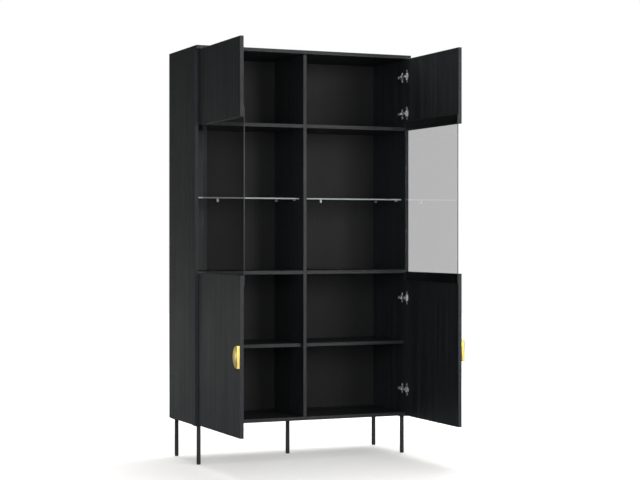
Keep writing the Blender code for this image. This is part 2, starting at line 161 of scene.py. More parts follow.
# ------------------------------------------------------------ black oak boards
# Chipboard under a black foil with an embossed oak grain. The grain runs up
# the sides, the divider and the doors and along the top, bottom and shelves.
# Faces towards the front get a lighter tone, painted light from the front softboxes.
def new_group(name, inputs, outputs):
    """An empty shader group with its sockets, and its two end nodes."""
    tree = bpy.data.node_groups.new(name, "ShaderNodeTree")
    for kind, sockets in (("INPUT", inputs), ("OUTPUT", outputs)):
        for socket, shape in sockets.items():
            tree.interface.new_socket(socket, in_out=kind, socket_type="NodeSocket" + shape)
    return tree, tree.nodes.new("NodeGroupInput"), tree.nodes.new("NodeGroupOutput")


def make_oak_grain():
    """Oak along Z: growth rings, streaks, fine fibre and the short dark pores."""
    tree, start, end = new_group(
        "oak_grain", {"Vector": "Vector"},
        {"Rings": "Float", "Streaks": "Float", "Fibre": "Float", "Pores": "Float"},
    )

    def stretched(scale):
        return add_node(tree, "ShaderNodeMapping", {"Vector": start.outputs["Vector"], "Scale": scale})

    log = add_node(tree, "ShaderNodeMapping", {
        "Vector": start.outputs["Vector"],
        "Location": (0.31, 0.24, 0.0),
        "Rotation": (math.radians(1.6), math.radians(-1.1), 0.0),
        "Scale": (1.0, 1.0, 0.055),
    })
    rings = add_node(tree, "ShaderNodeTexWave", {
        "Vector": log.outputs[0], "Scale": 24.0, "Distortion": 7.0, "Detail": 2.0, "Detail Scale": 1.1,
        "Detail Roughness": 0.55,
    }, wave_type="RINGS", rings_direction="Z", wave_profile="SIN")
    streaks = add_node(tree, "ShaderNodeTexNoise", {
        "Vector": stretched((62.0, 62.0, 1.4)).outputs[0], "Scale": 1.0, "Detail": 3.0, "Roughness": 0.6,
    })
    fibre = add_node(tree, "ShaderNodeTexNoise", {
        "Vector": stretched((420.0, 420.0, 9.0)).outputs[0], "Scale": 1.0, "Detail": 2.0, "Roughness": 0.55,
    })
    strokes = add_node(tree, "ShaderNodeTexNoise", {
        "Vector": stretched((1250.0, 1250.0, 60.0)).outputs[0], "Scale": 1.0, "Detail": 1.0,
    })
    early = add_node(tree, "ShaderNodeMapRange", {
        "Value": rings.outputs["Fac"], "From Min": 0.1, "From Max": 0.8, "To Min": 1.0, "To Max": 0.35,
    })
    sharp = add_node(tree, "ShaderNodeMapRange", {
        "Value": strokes.outputs["Fac"], "From Min": 0.56, "From Max": 0.66,
    }, interpolation_type="SMOOTHSTEP")
    pores = add_node(tree, "ShaderNodeMath", {0: sharp.outputs[0], 1: early.outputs[0]}, operation="MULTIPLY")
    tree.links.new(rings.outputs["Fac"], end.inputs["Rings"])
    tree.links.new(streaks.outputs["Fac"], end.inputs["Streaks"])
    tree.links.new(fibre.outputs["Fac"], end.inputs["Fibre"])
    tree.links.new(pores.outputs[0], end.inputs["Pores"])
    return tree


def make_handling():
    """Slow changes of gloss, as a wiped and handled surface has them."""
    tree, start, end = new_group("handling", {"Vector": "Vector"}, {"Mask": "Float"})
    cloud = add_node(tree, "ShaderNodeTexNoise", {
        "Vector": start.outputs["Vector"], "Scale": 3.2, "Detail": 4.0, "Roughness": 0.6,
    })
    mask = add_node(tree, "ShaderNodeMapRange", {
        "Value": cloud.outputs["Fac"], "From Min": 0.3, "From Max": 0.7,
    })
    tree.links.new(mask.outputs[0], end.inputs["Mask"])
    return tree


OAK_GRAIN = make_oak_grain()
HANDLING = make_handling()


def weighted(tree, terms, base):
    """base plus each (socket, weight), as a chain of multiply-add nodes."""
    total = base
    for socket, weight in terms:
        step = add_node(tree, "ShaderNodeMath", {0: socket, 1: weight, 2: total}, operation="MULTIPLY_ADD")
        total = step.outputs[0]
    return total


def with_painted_front_light(tree, place, foil, painted_front_light):
    """The foil's colour, with a lighter tone added on faces towards -Y: painted light from the front
    softboxes on the front edges.
    """
    facing = add_node(tree, "ShaderNodeSeparateXYZ", {0: place.outputs["Normal"]})
    edge = add_node(tree, "ShaderNodeMapRange", {
        "Value": facing.outputs["Y"], "From Min": -0.95, "From Max": -0.6, "To Min": 1.0, "To Max": 0.0,
    })
    both = add_node(tree, "ShaderNodeMix", {"Factor": edge.outputs[0], "A": foil, "B": (*painted_front_light, 1.0)},
                    data_type="RGBA", blend_type="ADD")
    return both.outputs["Result"]


def black_oak(name, turn, shift, dark, light, gloss, figure, painted_front_light):
    """Black oak foil whose grain runs along Z after the turn.

    The figure is how strongly the grain shows. The last colour is added on faces towards -Y: painted front
    light on the edges.
    """
    material = bpy.data.materials.new(name)
    material.use_nodes = True
    tree = material.node_tree
    shader = tree.nodes["Principled BSDF"]
    place = add_node(tree, "ShaderNodeTexCoord")
    laid = add_node(tree, "ShaderNodeMapping", {
        "Vector": place.outputs["Object"], "Rotation": turn, "Location": shift,
    })
    grain = add_node(tree, "ShaderNodeGroup", node_tree=OAK_GRAIN)
    tree.links.new(laid.outputs[0], grain.inputs["Vector"])
    handling = add_node(tree, "ShaderNodeGroup", node_tree=HANDLING)
    tree.links.new(place.outputs["Object"], handling.inputs["Vector"])
    rings, streaks = grain.outputs["Rings"], grain.outputs["Streaks"]
    fibre, pores = grain.outputs["Fibre"], grain.outputs["Pores"]
    tone = weighted(tree, ((rings, 0.40), (streaks, 1.15), (fibre, 0.45), (pores, -0.6)), -0.50)
    colour = add_node(tree, "ShaderNodeMix", {"Factor": tone, "A": (*dark, 1.0), "B": (*light, 1.0)},
                      data_type="RGBA", clamp_factor=True)
    tree.links.new(with_painted_front_light(tree, place, colour.outputs["Result"], painted_front_light), shader.inputs["Base Color"])
    rough = weighted(tree, (
        (pores, 0.18 * figure), (streaks, -0.17 * figure), (rings, 0.05 * figure),
        (handling.outputs["Mask"], 0.05),
    ), gloss + 0.05 * figure)
    tree.links.new(rough, shader.inputs["Roughness"])
    relief = weighted(tree, ((rings, 0.10), (fibre, 0.25), (streaks, 0.15), (pores, -0.8)), 0.5)
    bump = add_node(tree, "ShaderNodeBump", {"Height": relief, "Strength": 0.5 * figure, "Distance": 0.0004})
    tree.links.new(bump.outputs["Normal"], shader.inputs["Normal"])
    shader.inputs["Specular IOR Level"].default_value = 0.28
    return material


UPRIGHT = (0.0, 0.0, 0.0)
LYING = (0.0, math.radians(90.0), 0.0)
board_look = {
    "dark": (0.0058, 0.0062, 0.0065), "light": (0.0240, 0.0250, 0.0258), "gloss": 0.47, "figure": 1.0,
    # Last: a lighter tone for faces towards -Y, painted light from the front softboxes.
    "painted_front_light": (0.0130, 0.0138, 0.0165),
}
upright_oak = black_oak("black_oak_upright", UPRIGHT, (0.0, 0.0, 0.0), **board_look)
lying_oak = black_oak("black_oak_lying", LYING, (0.07, 0.03, 0.0), **board_look)

upright_boards = ["left_side", "right_side", "centre_divider"]
lying_boards = ["top_panel", "bottom_panel"]
for side in ("left", "right"):
    upright_boards += [side + "_door_lower_panel", side + "_door_upper_panel"]
    lying_boards += [side + "_middle_shelf", side + "_upper_shelf", side + "_board_shelf"]
for names, material in ((upright_boards, upright_oak), (lying_boards, lying_oak)):
    for name in names:
        NODES[name].data.materials.clear()
        NODES[name].data.materials.append(material)


# ------------------------------------------------------------ back
# One sheet of 3 mm hardboard held in grooves: black oak foil in front, bare
# brown pressed fibre behind.
def make_fibres():
    """Short pressed wood fibres lying every way, with a few dark chips."""
    tree, start, end = new_group(
        "pressed_fibres", {"Vector": "Vector"}, {"Fibres": "Float", "Chips": "Float"},
    )
    warp = add_node(tree, "ShaderNodeTexNoise", {
        "Vector": start.outputs["Vector"], "Scale": 90.0, "Detail": 2.0,
    })
    bent = add_node(tree, "ShaderNodeMix", {
        "Factor": 0.04, "A": start.outputs["Vector"], "B": warp.outputs["Color"],
    }, data_type="VECTOR")
    fibres = add_node(tree, "ShaderNodeTexNoise", {
        "Vector": bent.outputs["Result"], "Scale": 420.0, "Detail": 4.0, "Roughness": 0.65,
    })
    cells = add_node(tree, "ShaderNodeTexVoronoi", {"Vector": bent.outputs["Result"], "Scale": 260.0})
    chips = add_node(tree, "ShaderNodeMapRange", {
        "Value": cells.outputs["Distance"], "From Min": 0.10, "From Max": 0.22, "To Min": 1.0, "To Max": 0.0,
    })
    tree.links.new(fibres.outputs["Fac"], end.inputs["Fibres"])
    tree.links.new(chips.outputs[0], end.inputs["Chips"])
    return tree


BARE_ROUGHNESS = 0.82


def hardboard(name, foil_look):
    """Black oak foil on the face towards -Y, bare brown fibre on the one towards +Y."""
    material = black_oak(name, UPRIGHT, (0.13, 0.0, 0.0), **foil_look)
    tree = material.node_tree
    shader = tree.nodes["Principled BSDF"]
    place = add_node(tree, "ShaderNodeTexCoord")
    facing = add_node(tree, "ShaderNodeSeparateXYZ", {0: place.outputs["Normal"]})
    behind = add_node(tree, "ShaderNodeMath", {0: facing.outputs["Y"], 1: 0.5}, operation="GREATER_THAN")
    fibres = add_node(tree, "ShaderNodeGroup", node_tree=make_fibres())
    tree.links.new(place.outputs["Object"], fibres.inputs["Vector"])
    mottle = weighted(tree, ((fibres.outputs["Fibres"], 1.3), (fibres.outputs["Chips"], -0.5)), -0.1)
    brown = add_node(tree, "ShaderNodeMix", {
        "Factor": mottle, "A": (0.115, 0.062, 0.030, 1.0), "B": (0.215, 0.130, 0.070, 1.0),
    }, data_type="RGBA", clamp_factor=True)
    for socket, bare, kind in (
        ("Base Color", brown.outputs["Result"], "RGBA"), ("Roughness", BARE_ROUGHNESS, "FLOAT"),
    ):
        foil = shader.inputs[socket].links[0].from_socket
        both = add_node(tree, "ShaderNodeMix", {"Factor": behind.outputs[0], "A": foil, "B": bare},
                        data_type=kind)
        tree.links.new(both.outputs["Result"], shader.inputs[socket])
    return material


back_board = hardboard("back_hardboard", {
    "dark": (0.0130, 0.0123, 0.0118), "light": (0.0195, 0.0183, 0.0175), "gloss": 0.5, "figure": 0.35,
    # Almost no painted front light on the back's face towards -Y.
    "painted_front_light": (0.001, 0.001, 0.001),
})
NODES["back_panel"].data.materials.clear()
NODES["back_panel"].data.materials.append(back_board)


# ------------------------------------------------------------ legs
# Five square steel posts, each welded under a plate with four pan-head
# screws, all in fine black powder coat, on nylon glides pushed into the feet.
def put(piece, shape, matrix=Matrix(), paint=0):
    """Adds a finished shape to a piece, moved by the matrix, in its material number paint.

    Its parts are put in order of place, because some operators leave them in any order.
    """
    bmesh.ops.transform(shape, matrix=matrix, verts=shape.verts)
    bmesh.ops.recalc_face_normals(shape, faces=shape.faces)
    for parts, centre in (
        (shape.verts, lambda vert: vert.co), (shape.faces, lambda face: face.calc_center_median()),
    ):
        for number, part in enumerate(sorted(parts, key=lambda part: centre(part)[:])):
            part.index = number
        parts.sort()
    for face in shape.faces:
        face.material_index = paint
    mesh = bpy.data.meshes.new("shape")
    shape.to_mesh(mesh)
    shape.free()
    piece.from_mesh(mesh)
    bpy.data.meshes.remove(mesh)


def soften(shape, width, segments=2, edges=None):
    """Rounds the given edges, or all that turn by more than 35 degrees."""
    if edges is None:
        edges = [edge for edge in shape.edges if edge.calc_face_angle(0.0) > math.radians(35)]
    bmesh.ops.bevel(shape, geom=edges, offset=width, offset_type="OFFSET", segments=segments, profile=0.5,
                    affect="EDGES", material=-1)


def block(size, corner, arris):
    """A bar or plate with its upright corners rounded and its other edges broken."""
    shape = bmesh.new()
    bmesh.ops.create_cube(shape, size=1.0)
    bmesh.ops.scale(shape, vec=size, verts=shape.verts)
    upright = [edge for edge in shape.edges if abs(edge.verts[0].co.z - edge.verts[1].co.z) > size[2] / 2]
    soften(shape, corner, 5, upright)
    soften(shape, arris)
    return shape


def lathe(profile, steps=32):
    """Turns a profile of (radius, height) points about Z into a closed shape."""
    shape = bmesh.new()
    verts = [shape.verts.new((radius, 0.0, height)) for radius, height in profile]
    edges = [shape.edges.new(pair) for pair in zip(verts, verts[1:])]
    bmesh.ops.spin(shape, geom=verts + edges, cent=(0, 0, 0), axis=(0, 0, 1), angle=2 * math.pi,
                   steps=steps, use_merge=True)
    bmesh.ops.remove_doubles(shape, verts=shape.verts, dist=1e-6)
    return shape


def pan_screw(radius, height):
    """Screw head standing on Z = 0, with a cross recess."""
    shape = bmesh.new()
    slot, reach = 0.17 * radius, 0.58 * radius
    cross = []
    for quarter in range(4):
        turn = Matrix.Rotation(-math.pi / 2 * quarter, 3, "Z")
        cross += [turn @ Vector((x, y, height)) for x, y in ((slot, reach), (slot, slot), (reach, slot))]
    crown = shape.faces.new([shape.verts.new(point) for point in cross])
    rim = bmesh.ops.create_circle(shape, segments=24, radius=0.70 * radius,
                                  matrix=Matrix.Translation((0.0, 0.0, height)))["verts"]
    loop = [edge for edge in shape.edges if edge.verts[0] in rim]
    bmesh.ops.bridge_loops(shape, edges=list(crown.edges) + loop)
    for share, level in ((0.90, 0.82), (1.0, 0.50), (1.0, 0.0)):
        grown = bmesh.ops.extrude_edge_only(shape, edges=loop)["geom"]
        rim = [part for part in grown if isinstance(part, bmesh.types.BMVert)]
        loop = [part for part in grown
                if isinstance(part, bmesh.types.BMEdge) and set(part.verts) <= set(rim)]
        for vert in rim:
            out = Vector((vert.co.x, vert.co.y, 0.0)).normalized() * radius * share
            vert.co = (out.x, out.y, height * level)
    bmesh.ops.contextual_create(shape, geom=loop)
    pit = bmesh.ops.extrude_discrete_faces(shape, faces=[crown])["faces"][0]
    bmesh.ops.translate(shape, verts=pit.verts, vec=(0.0, 0.0, -0.55 * height))
    bmesh.ops.scale(shape, verts=pit.verts, vec=(0.7, 0.7, 1.0))
    return shape


def facing(point, out):
    """Stands a shape's Z along out, with its origin at point."""
    return Matrix.Translation(point) @ Vector(out).to_track_quat("Z", "Y").to_matrix().to_4x4()


SHARP_TURN = math.radians(32)
WIDEST_ROUNDING = 0.004


def fit_piece(name, shape, paints, rides_on, slot, *nodes):
    """Makes the piece's object for its CAD nodes: flat faces stay flat and its roundings are smooth."""
    mesh = bpy.data.meshes.new(name)
    shape.to_mesh(mesh)
    shape.free()
    for paint in paints:
        mesh.materials.append(paint)
    mesh.set_sharp_from_angle(angle=SHARP_TURN)
    for face in mesh.polygons:
        shortest = min((mesh.vertices[a].co - mesh.vertices[b].co).length for a, b in face.edge_keys)
        face.use_smooth = len(face.vertices) == 3 or (len(face.vertices) == 4 and shortest < WIDEST_ROUNDING)
    piece = bpy.data.objects.new(name, mesh)
    bpy.context.scene.collection.objects.link(piece)
    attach(piece, rides_on)
    if nodes:
        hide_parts(*nodes)
    return piece


def powder_coat(name, colour, gloss):
    """Baked powder paint: an even, slightly pebbled skin with a few dull patches."""
    material = bpy.data.materials.new(name)
    material.use_nodes = True
    tree = material.node_tree
    shader = tree.nodes["Principled BSDF"]
    place = add_node(tree, "ShaderNodeTexCoord")
    pebbles = add_node(tree, "ShaderNodeTexNoise", {
        "Vector": place.outputs["Object"], "Scale": 1600.0, "Detail": 2.0, "Roughness": 0.6,
    })
    handling = add_node(tree, "ShaderNodeGroup", node_tree=HANDLING)
    tree.links.new(place.outputs["Object"], handling.inputs["Vector"])
    shade = add_node(tree, "ShaderNodeMix", {
        "Factor": pebbles.outputs["Fac"], "A": (*[0.75 * part for part in colour], 1.0),
        "B": (*[1.35 * part for part in colour], 1.0),
    }, data_type="RGBA")
    tree.links.new(shade.outputs["Result"], shader.inputs["Base Color"])
    rough = weighted(tree, ((pebbles.outputs["Fac"], 0.16), (handling.outputs["Mask"], 0.06)), gloss)
    tree.links.new(rough, shader.inputs["Roughness"])
    bump = add_node(tree, "ShaderNodeBump", {
        "Height": pebbles.outputs["Fac"], "Strength": 0.35, "Distance": 0.0002,
    })
    tree.links.new(bump.outputs["Normal"], shader.inputs["Normal"])
    shader.inputs["Specular IOR Level"].default_value = 0.45
    return material


black_steel = powder_coat("black_powder_coat", (0.0085, 0.0087, 0.0092), 0.40)
nylon = powder_coat("black_nylon", (0.020, 0.020, 0.020), 0.55)

POST = 0.015
POST_INTO_PLATE = 0.0005
LEG_PLATE = 0.046
LEG_PLATE_THICK = 0.0025
BEAD = POST + 0.004
BEAD_HEIGHT = 0.0020
BEAD_BELOW_PLATE = 0.0009
GLIDE = POST - 0.0010
GLIDE_HEIGHT = 0.0035
GLIDE_INTO_POST = 0.0020
LEG_SCREW, LEG_SCREW_HEAD = 0.0037, 0.0017
LEG_SCREW_SPREAD = 0.0165
for leg_name in ("front_left", "front_right", "rear_left", "rear_right", "centre"):
    low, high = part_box(leg_name + "_leg")
    foot = Vector(((low.x + high.x) / 2, (low.y + high.y) / 2, 0.0))
    under_plate = high.z - LEG_PLATE_THICK
    post_length = under_plate + POST_INTO_PLATE - GLIDE_HEIGHT
    glide_length = GLIDE_HEIGHT + GLIDE_INTO_POST
    leg = bmesh.new()
    for size, height, corner, arris, centre_height, paint in (
        (POST, post_length, 0.0018, 0.0003, GLIDE_HEIGHT + post_length / 2, 0),
        (LEG_PLATE, LEG_PLATE_THICK, 0.0040, 0.0004, high.z - LEG_PLATE_THICK / 2, 0),
        (BEAD, BEAD_HEIGHT, 0.0030, 0.0009, under_plate - BEAD_BELOW_PLATE, 0),
        (GLIDE, glide_length, 0.0016, 0.0008, glide_length / 2, 1),
    ):
        centre = Matrix.Translation(foot + Vector((0.0, 0.0, centre_height)))
        put(leg, block((size, size, height), corner, arris), centre, paint)
    for across in (-LEG_SCREW_SPREAD, LEG_SCREW_SPREAD):
        for along in (-LEG_SCREW_SPREAD, LEG_SCREW_SPREAD):
            screw_place = foot + Vector((across, along, under_plate))
            put(leg, pan_screw(LEG_SCREW, LEG_SCREW_HEAD), facing(screw_place, (0.0, 0.0, -1.0)))
    fit_piece(leg_name + "_post", leg, (black_steel, nylon), "carcass", "black_steel", leg_name + "_leg")


# ------------------------------------------------------------ shelf pins
# Turned 5 mm steel pins, nickel plated, pushed into drilled holes up to a
# thin collar. The divider's pins go right through and carry both sides.
def make_plating_marks():
    """Fine drawn lines along Z and slow cloudy patches, as plated sheet has."""
    tree, start, end = new_group(
        "plating_marks", {"Vector": "Vector"}, {"Lines": "Float", "Cloud": "Float"},
    )
    drawn = add_node(tree, "ShaderNodeMapping", {
        "Vector": start.outputs["Vector"], "Scale": (2600.0, 2600.0, 60.0),
    })
    lines = add_node(tree, "ShaderNodeTexNoise", {"Vector": drawn.outputs[0], "Scale": 1.0, "Detail": 2.0})
    cloud = add_node(tree, "ShaderNodeTexNoise", {
        "Vector": start.outputs["Vector"], "Scale": 70.0, "Detail": 3.0, "Roughness": 0.6,
    })
    tree.links.new(lines.outputs["Fac"], end.inputs["Lines"])
    tree.links.new(cloud.outputs["Fac"], end.inputs["Cloud"])
    return tree


PLATING_MARKS = make_plating_marks()


def plated(name, dull, bright, gloss, line_depth, wear):
    """Plated metal whose colour and gloss follow its drawn lines and, by wear, cloudy patches."""
    material = bpy.data.materials.new(name)
    material.use_nodes = True
    tree = material.node_tree
    shader = tree.nodes["Principled BSDF"]
    place = add_node(tree, "ShaderNodeTexCoord")
    marks = add_node(tree, "ShaderNodeGroup", node_tree=PLATING_MARKS)
    tree.links.new(place.outputs["Object"], marks.inputs["Vector"])
    lines, cloud = marks.outputs["Lines"], marks.outputs["Cloud"]
    tone = weighted(tree, ((lines, 0.7), (cloud, wear)), 0.15 - 0.5 * wear)
    colour = add_node(tree, "ShaderNodeMix", {"Factor": tone, "A": (*dull, 1.0), "B": (*bright, 1.0)},
                      data_type="RGBA", clamp_factor=True)
    tree.links.new(colour.outputs["Result"], shader.inputs["Base Color"])
    rough = weighted(tree, ((lines, 0.14), (cloud, 0.14 * wear)), gloss - 0.07 - 0.07 * wear)
    tree.links.new(rough, shader.inputs["Roughness"])
    bump = add_node(tree, "ShaderNodeBump", {"Height": lines, "Strength": 0.4, "Distance": line_depth})
    tree.links.new(bump.outputs["Normal"], shader.inputs["Normal"])
    shader.inputs["Metallic"].default_value = 1.0
    return material


nickel = plated("nickel_plate", (0.74, 0.74, 0.73), (0.88, 0.88, 0.87), 0.42, 0.00002, 0.7)

PIN = 0.0025
COLLAR = 0.0036
COLLAR_THICK = 0.0007
PIN_ARRIS = 0.0003
PIN_IN_BOARD = 0.0098
PIN_OUT = 0.0118
PINS_APART = 0.0001
SHELF_GAP = 0.0003


def pin_half(deep, out):
    """One pin end: from deep inside the board, through a collar at Z = 0, to a rounded tip."""
    return [(0.0, -deep), (PIN - PIN_ARRIS, -deep), (PIN, -deep + PIN_ARRIS), (PIN, 0.0001), (COLLAR, 0.0001),
            (COLLAR, COLLAR_THICK - 0.0002), (COLLAR - 0.0002, COLLAR_THICK), (PIN, COLLAR_THICK),
            (PIN, out - 0.0009), (PIN - PIN_ARRIS, out - PIN_ARRIS), (PIN - 0.0010, out), (0.0, out)]


left_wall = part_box("left_side")[1].x
right_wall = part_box("right_side")[0].x
divider_left, divider_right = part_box("centre_divider")[0].x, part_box("centre_divider")[1].x
half_divider = (divider_right - divider_left) / 2 - PINS_APART
wooden_pin_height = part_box("left_board_shelf")[0].z - SHELF_GAP - PIN
for row in ("front", "rear"):
    low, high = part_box("divider_" + row + "_shelf_pin")
    pin_y, glass_pin_height = (low.y + high.y) / 2, (low.z + high.z) / 2
    for shelf, pin_z in (("glass", glass_pin_height), ("wooden", wooden_pin_height)):
        for owner, deep, ends in (
            ("left", PIN_IN_BOARD, ((left_wall, 1.0),)),
            ("right", PIN_IN_BOARD, ((right_wall, -1.0),)),
            ("divider", half_divider, ((divider_left, -1.0), (divider_right, 1.0))),
        ):
            pin = bmesh.new()
            for wall, out in ends:
                put(pin, lathe(pin_half(deep, PIN_OUT)), facing((wall, pin_y, pin_z), (out, 0.0, 0.0)))
            nodes = [f"{owner}_{row}_shelf_pin"] if shelf == "glass" else []
            fit_piece(f"{owner}_{row}_{shelf}_shelf_pin", pin, (nickel,), "carcass", "nickel", *nodes)


# ------------------------------------------------------------ clips
# A small die-cast clip, nickel plated, over the rear edge of each glass
# shelf, with a frosted lens below and a grub screw behind.
def frosted(name, colour):
    """Milky plastic with a faint clouding."""
    material = bpy.data.materials.new(name)
    material.use_nodes = True
    tree = material.node_tree
    shader = tree.nodes["Principled BSDF"]
    place = add_node(tree, "ShaderNodeTexCoord")
    cloud = add_node(tree, "ShaderNodeTexNoise", {
        "Vector": place.outputs["Object"], "Scale": 900.0, "Detail": 2.0,
    })
    shade = add_node(tree, "ShaderNodeMix", {
        "Factor": cloud.outputs["Fac"], "A": (*[0.82 * part for part in colour], 1.0), "B": (*colour, 1.0),
    }, data_type="RGBA")
    tree.links.new(shade.outputs["Result"], shader.inputs["Base Color"])
    rough = weighted(tree, ((cloud.outputs["Fac"], 0.2),), 0.35)
    tree.links.new(rough, shader.inputs["Roughness"])
    return material


lens_plastic = frosted("frosted_lens", (0.82, 0.83, 0.82))

CLIP_TOP_IN = 0.0030
LENS_IN, LENS_UP = 0.0050, 0.0010
LENS_PROFILE = ((0.0, -0.0006), (0.0022, -0.0006), (0.0026, -0.0002), (0.0026, 0.0004), (0.0019, 0.0007),
                (0.0010, 0.0009), (0.0, 0.00095))
GRUB_SCREW, GRUB_SCREW_HEAD, GRUB_SCREW_UP = 0.0019, 0.0007, 0.0045
for side in ("left", "right"):
    low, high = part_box(side + "_clip_light")
    shelf_low, shelf_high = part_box(side + "_glass_shelf")
    jaw = shelf_high.y + SHELF_GAP
    gap_low, gap_high = shelf_low.z - SHELF_GAP, shelf_high.z + SHELF_GAP
    top_front = low.y + CLIP_TOP_IN
    outline = ((low.y, low.z), (high.y, low.z), (high.y, high.z), (top_front, high.z), (top_front, gap_high),
               (jaw, gap_high), (jaw, gap_low), (low.y, gap_low))
    jaws = bmesh.new()
    side_face = jaws.faces.new([jaws.verts.new((low.x, y, z)) for y, z in outline])
    grown = bmesh.ops.extrude_face_region(jaws, geom=[side_face])["geom"]
    bmesh.ops.translate(jaws, verts=[part for part in grown if isinstance(part, bmesh.types.BMVert)],
                        vec=(high.x - low.x, 0.0, 0.0))
    soften(jaws, 0.0005, 3)
    middle = (low.x + high.x) / 2
    clip = bmesh.new()
    put(clip, jaws)
    put(clip, lathe(LENS_PROFILE), facing((middle, low.y + LENS_IN, low.z + LENS_UP), (0.0, 0.0, -1.0)), 1)
    put(clip, pan_screw(GRUB_SCREW, GRUB_SCREW_HEAD),
        facing((middle, high.y, low.z + GRUB_SCREW_UP), (0.0, 1.0, 0.0)))
    fit_piece(side + "_shelf_clip", clip, (nickel, lens_plastic), "carcass", "nickel", side + "_clip_light")


# ------------------------------------------------------------ glass
# Grey-tinted 4 mm panes in the doors and clear 6 mm shelves, cut and then
# ground to a fine matt arris on every edge.
SHADOW_LIGHT = 0.6


def glass(name, tint, roughness, smear, through):
    """Glass dulled by faint wiping smears. Part of the light goes through it into its shadow."""
    material = bpy.data.materials.new(name)
    material.use_nodes = True
    tree = material.node_tree
    shader = tree.nodes["Principled BSDF"]
    place = add_node(tree, "ShaderNodeTexCoord")
    handling = add_node(tree, "ShaderNodeGroup", node_tree=HANDLING)
    tree.links.new(place.outputs["Object"], handling.inputs["Vector"])
    rough = weighted(tree, ((handling.outputs["Mask"], smear),), roughness)
    tree.links.new(rough, shader.inputs["Roughness"])
    path = add_node(tree, "ShaderNodeLightPath")
    opaque = weighted(tree, ((path.outputs["Is Shadow Ray"], -SHADOW_LIGHT),), 1.0)
    tree.links.new(opaque, shader.inputs["Alpha"])
    shader.inputs["Base Color"].default_value = (*tint, 1.0)
    shader.inputs["IOR"].default_value = 1.5
    shader.inputs["Transmission Weight"].default_value = through
    return material


PANES = {
    "smoked": (
        glass("smoked_glass", (0.58, 0.575, 0.58), 0.0, 0.012, 1.0),
        glass("smoked_ground_edge", (0.022, 0.024, 0.025), 0.40, 0.10, 0.15),
    ),
    "clear": (
        glass("clear_glass", (0.97, 0.985, 0.98), 0.0, 0.008, 1.0),
        glass("clear_ground_edge", (0.62, 0.68, 0.67), 0.40, 0.10, 0.5),
    ),
}


def fit_pane(piece, node, rides_on, slot, thin_axis, arris, kind):
    """A pane in the place of its CAD node, with see-through faces across its thin axis and ground edges."""
    low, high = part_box(node)
    pane = bmesh.new()
    bmesh.ops.create_cube(pane, size=1.0)
    bmesh.ops.scale(pane, verts=pane.verts, vec=high - low)
    bmesh.ops.translate(pane, verts=pane.verts, vec=(low + high) / 2)
    soften(pane, arris)
    for face in pane.faces:
        face.material_index = 0 if abs(face.normal[thin_axis]) > 0.99 else 1
    fit_piece(piece, pane, PANES[kind], rides_on, slot, node)


for side in ("left", "right"):
    fit_pane(side + "_window", side + "_door_glass", side + "_door", "smoked_glass", 0, 0.0005, "smoked")
    fit_pane(side + "_glass_shelf_pane", side + "_glass_shelf", "carcass", "shelf_glass", 2, 0.0008, "clear")


# ------------------------------------------------------------ hinge arms
# Pressed steel arm, open towards the side board, on a cross-shaped plate
# held by two screws. Two more screws on its back set the door.
ARM_WIDTH = 0.013
ARM_SHEET = 0.0013
ARM_PIN_IN, ARM_PIN_BACK = 0.0245, -0.0010
PLATE_BACK = 0.0370
PLATE_SCREW, PLATE_SCREW_HEAD, PLATE_SCREW_SPREAD = 0.0038, 0.0020, 0.016
RIVET_PROFILE = ((0.0, -0.0070), (0.0014, -0.0070), (0.0017, -0.0066), (0.0017, -0.0064), (0.0010, -0.0064),
                 (0.0010, 0.0064), (0.0017, 0.0064), (0.0017, 0.0066), (0.0014, 0.0070), (0.0, 0.0070))
FLAT_ON_BOARD = Matrix.Rotation(math.radians(90), 4, "Y")
front_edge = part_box("left_side")[0].y


def hinge_frame(s, height):
    """From (into the cabinet, back, up) at a side board's front edge to the whole object."""
    wall = left_wall if s < 0 else right_wall
    return Matrix(((-s, 0, 0, wall), (0, 1, 0, front_edge), (0, 0, 1, height), (0, 0, 0, 1)))


def bow(centre, radius, start, end, steps):
    """Points on an arc, in degrees, both ends included."""
    angles = [math.radians(start + (end - start) * step / steps) for step in range(steps + 1)]
    return [(centre[0] + radius * math.cos(angle), centre[1] + radius * math.sin(angle)) for angle in angles]


def arm_shape():
    """The arm as a bent channel: a solid outline opened below and in front, then given its sheet."""
    outline = [(0.0030, 0.0525), (0.0030, 0.0160), (0.0080, 0.0070)]
    outline += bow((ARM_PIN_IN, ARM_PIN_BACK), 0.0023, 215, 350, 7)
    outline += [(0.0272, 0.0040), (0.0215, 0.0220), (0.0150, 0.0400)]
    outline += bow((0.0110, 0.0540), 0.0040, 10, 170, 6)
    shape = bmesh.new()
    base = shape.faces.new([shape.verts.new((x, y, -ARM_WIDTH / 2)) for x, y in outline])
    grown = bmesh.ops.extrude_face_region(shape, geom=[base])["geom"]
    bmesh.ops.translate(shape, verts=[part for part in grown if isinstance(part, bmesh.types.BMVert)],
                        vec=(0.0, 0.0, ARM_WIDTH))
    bmesh.ops.recalc_face_normals(shape, faces=shape.faces)
    below = [face for face in shape.faces
             if face.normal.x < -0.3 or (face.normal.y < -0.4 and face.normal.x < 0.6)]
    bmesh.ops.delete(shape, geom=below, context="FACES")
    rounded = [edge for edge in shape.edges if len(edge.link_faces) == 2
               and abs(edge.verts[0].co.z - edge.verts[1].co.z) < 0.001
               and edge.calc_face_angle(0.0) > math.radians(60)]
    soften(shape, 0.0016, 3, rounded)
    bmesh.ops.solidify(shape, geom=shape.faces[:], thickness=ARM_SHEET)
    return shape


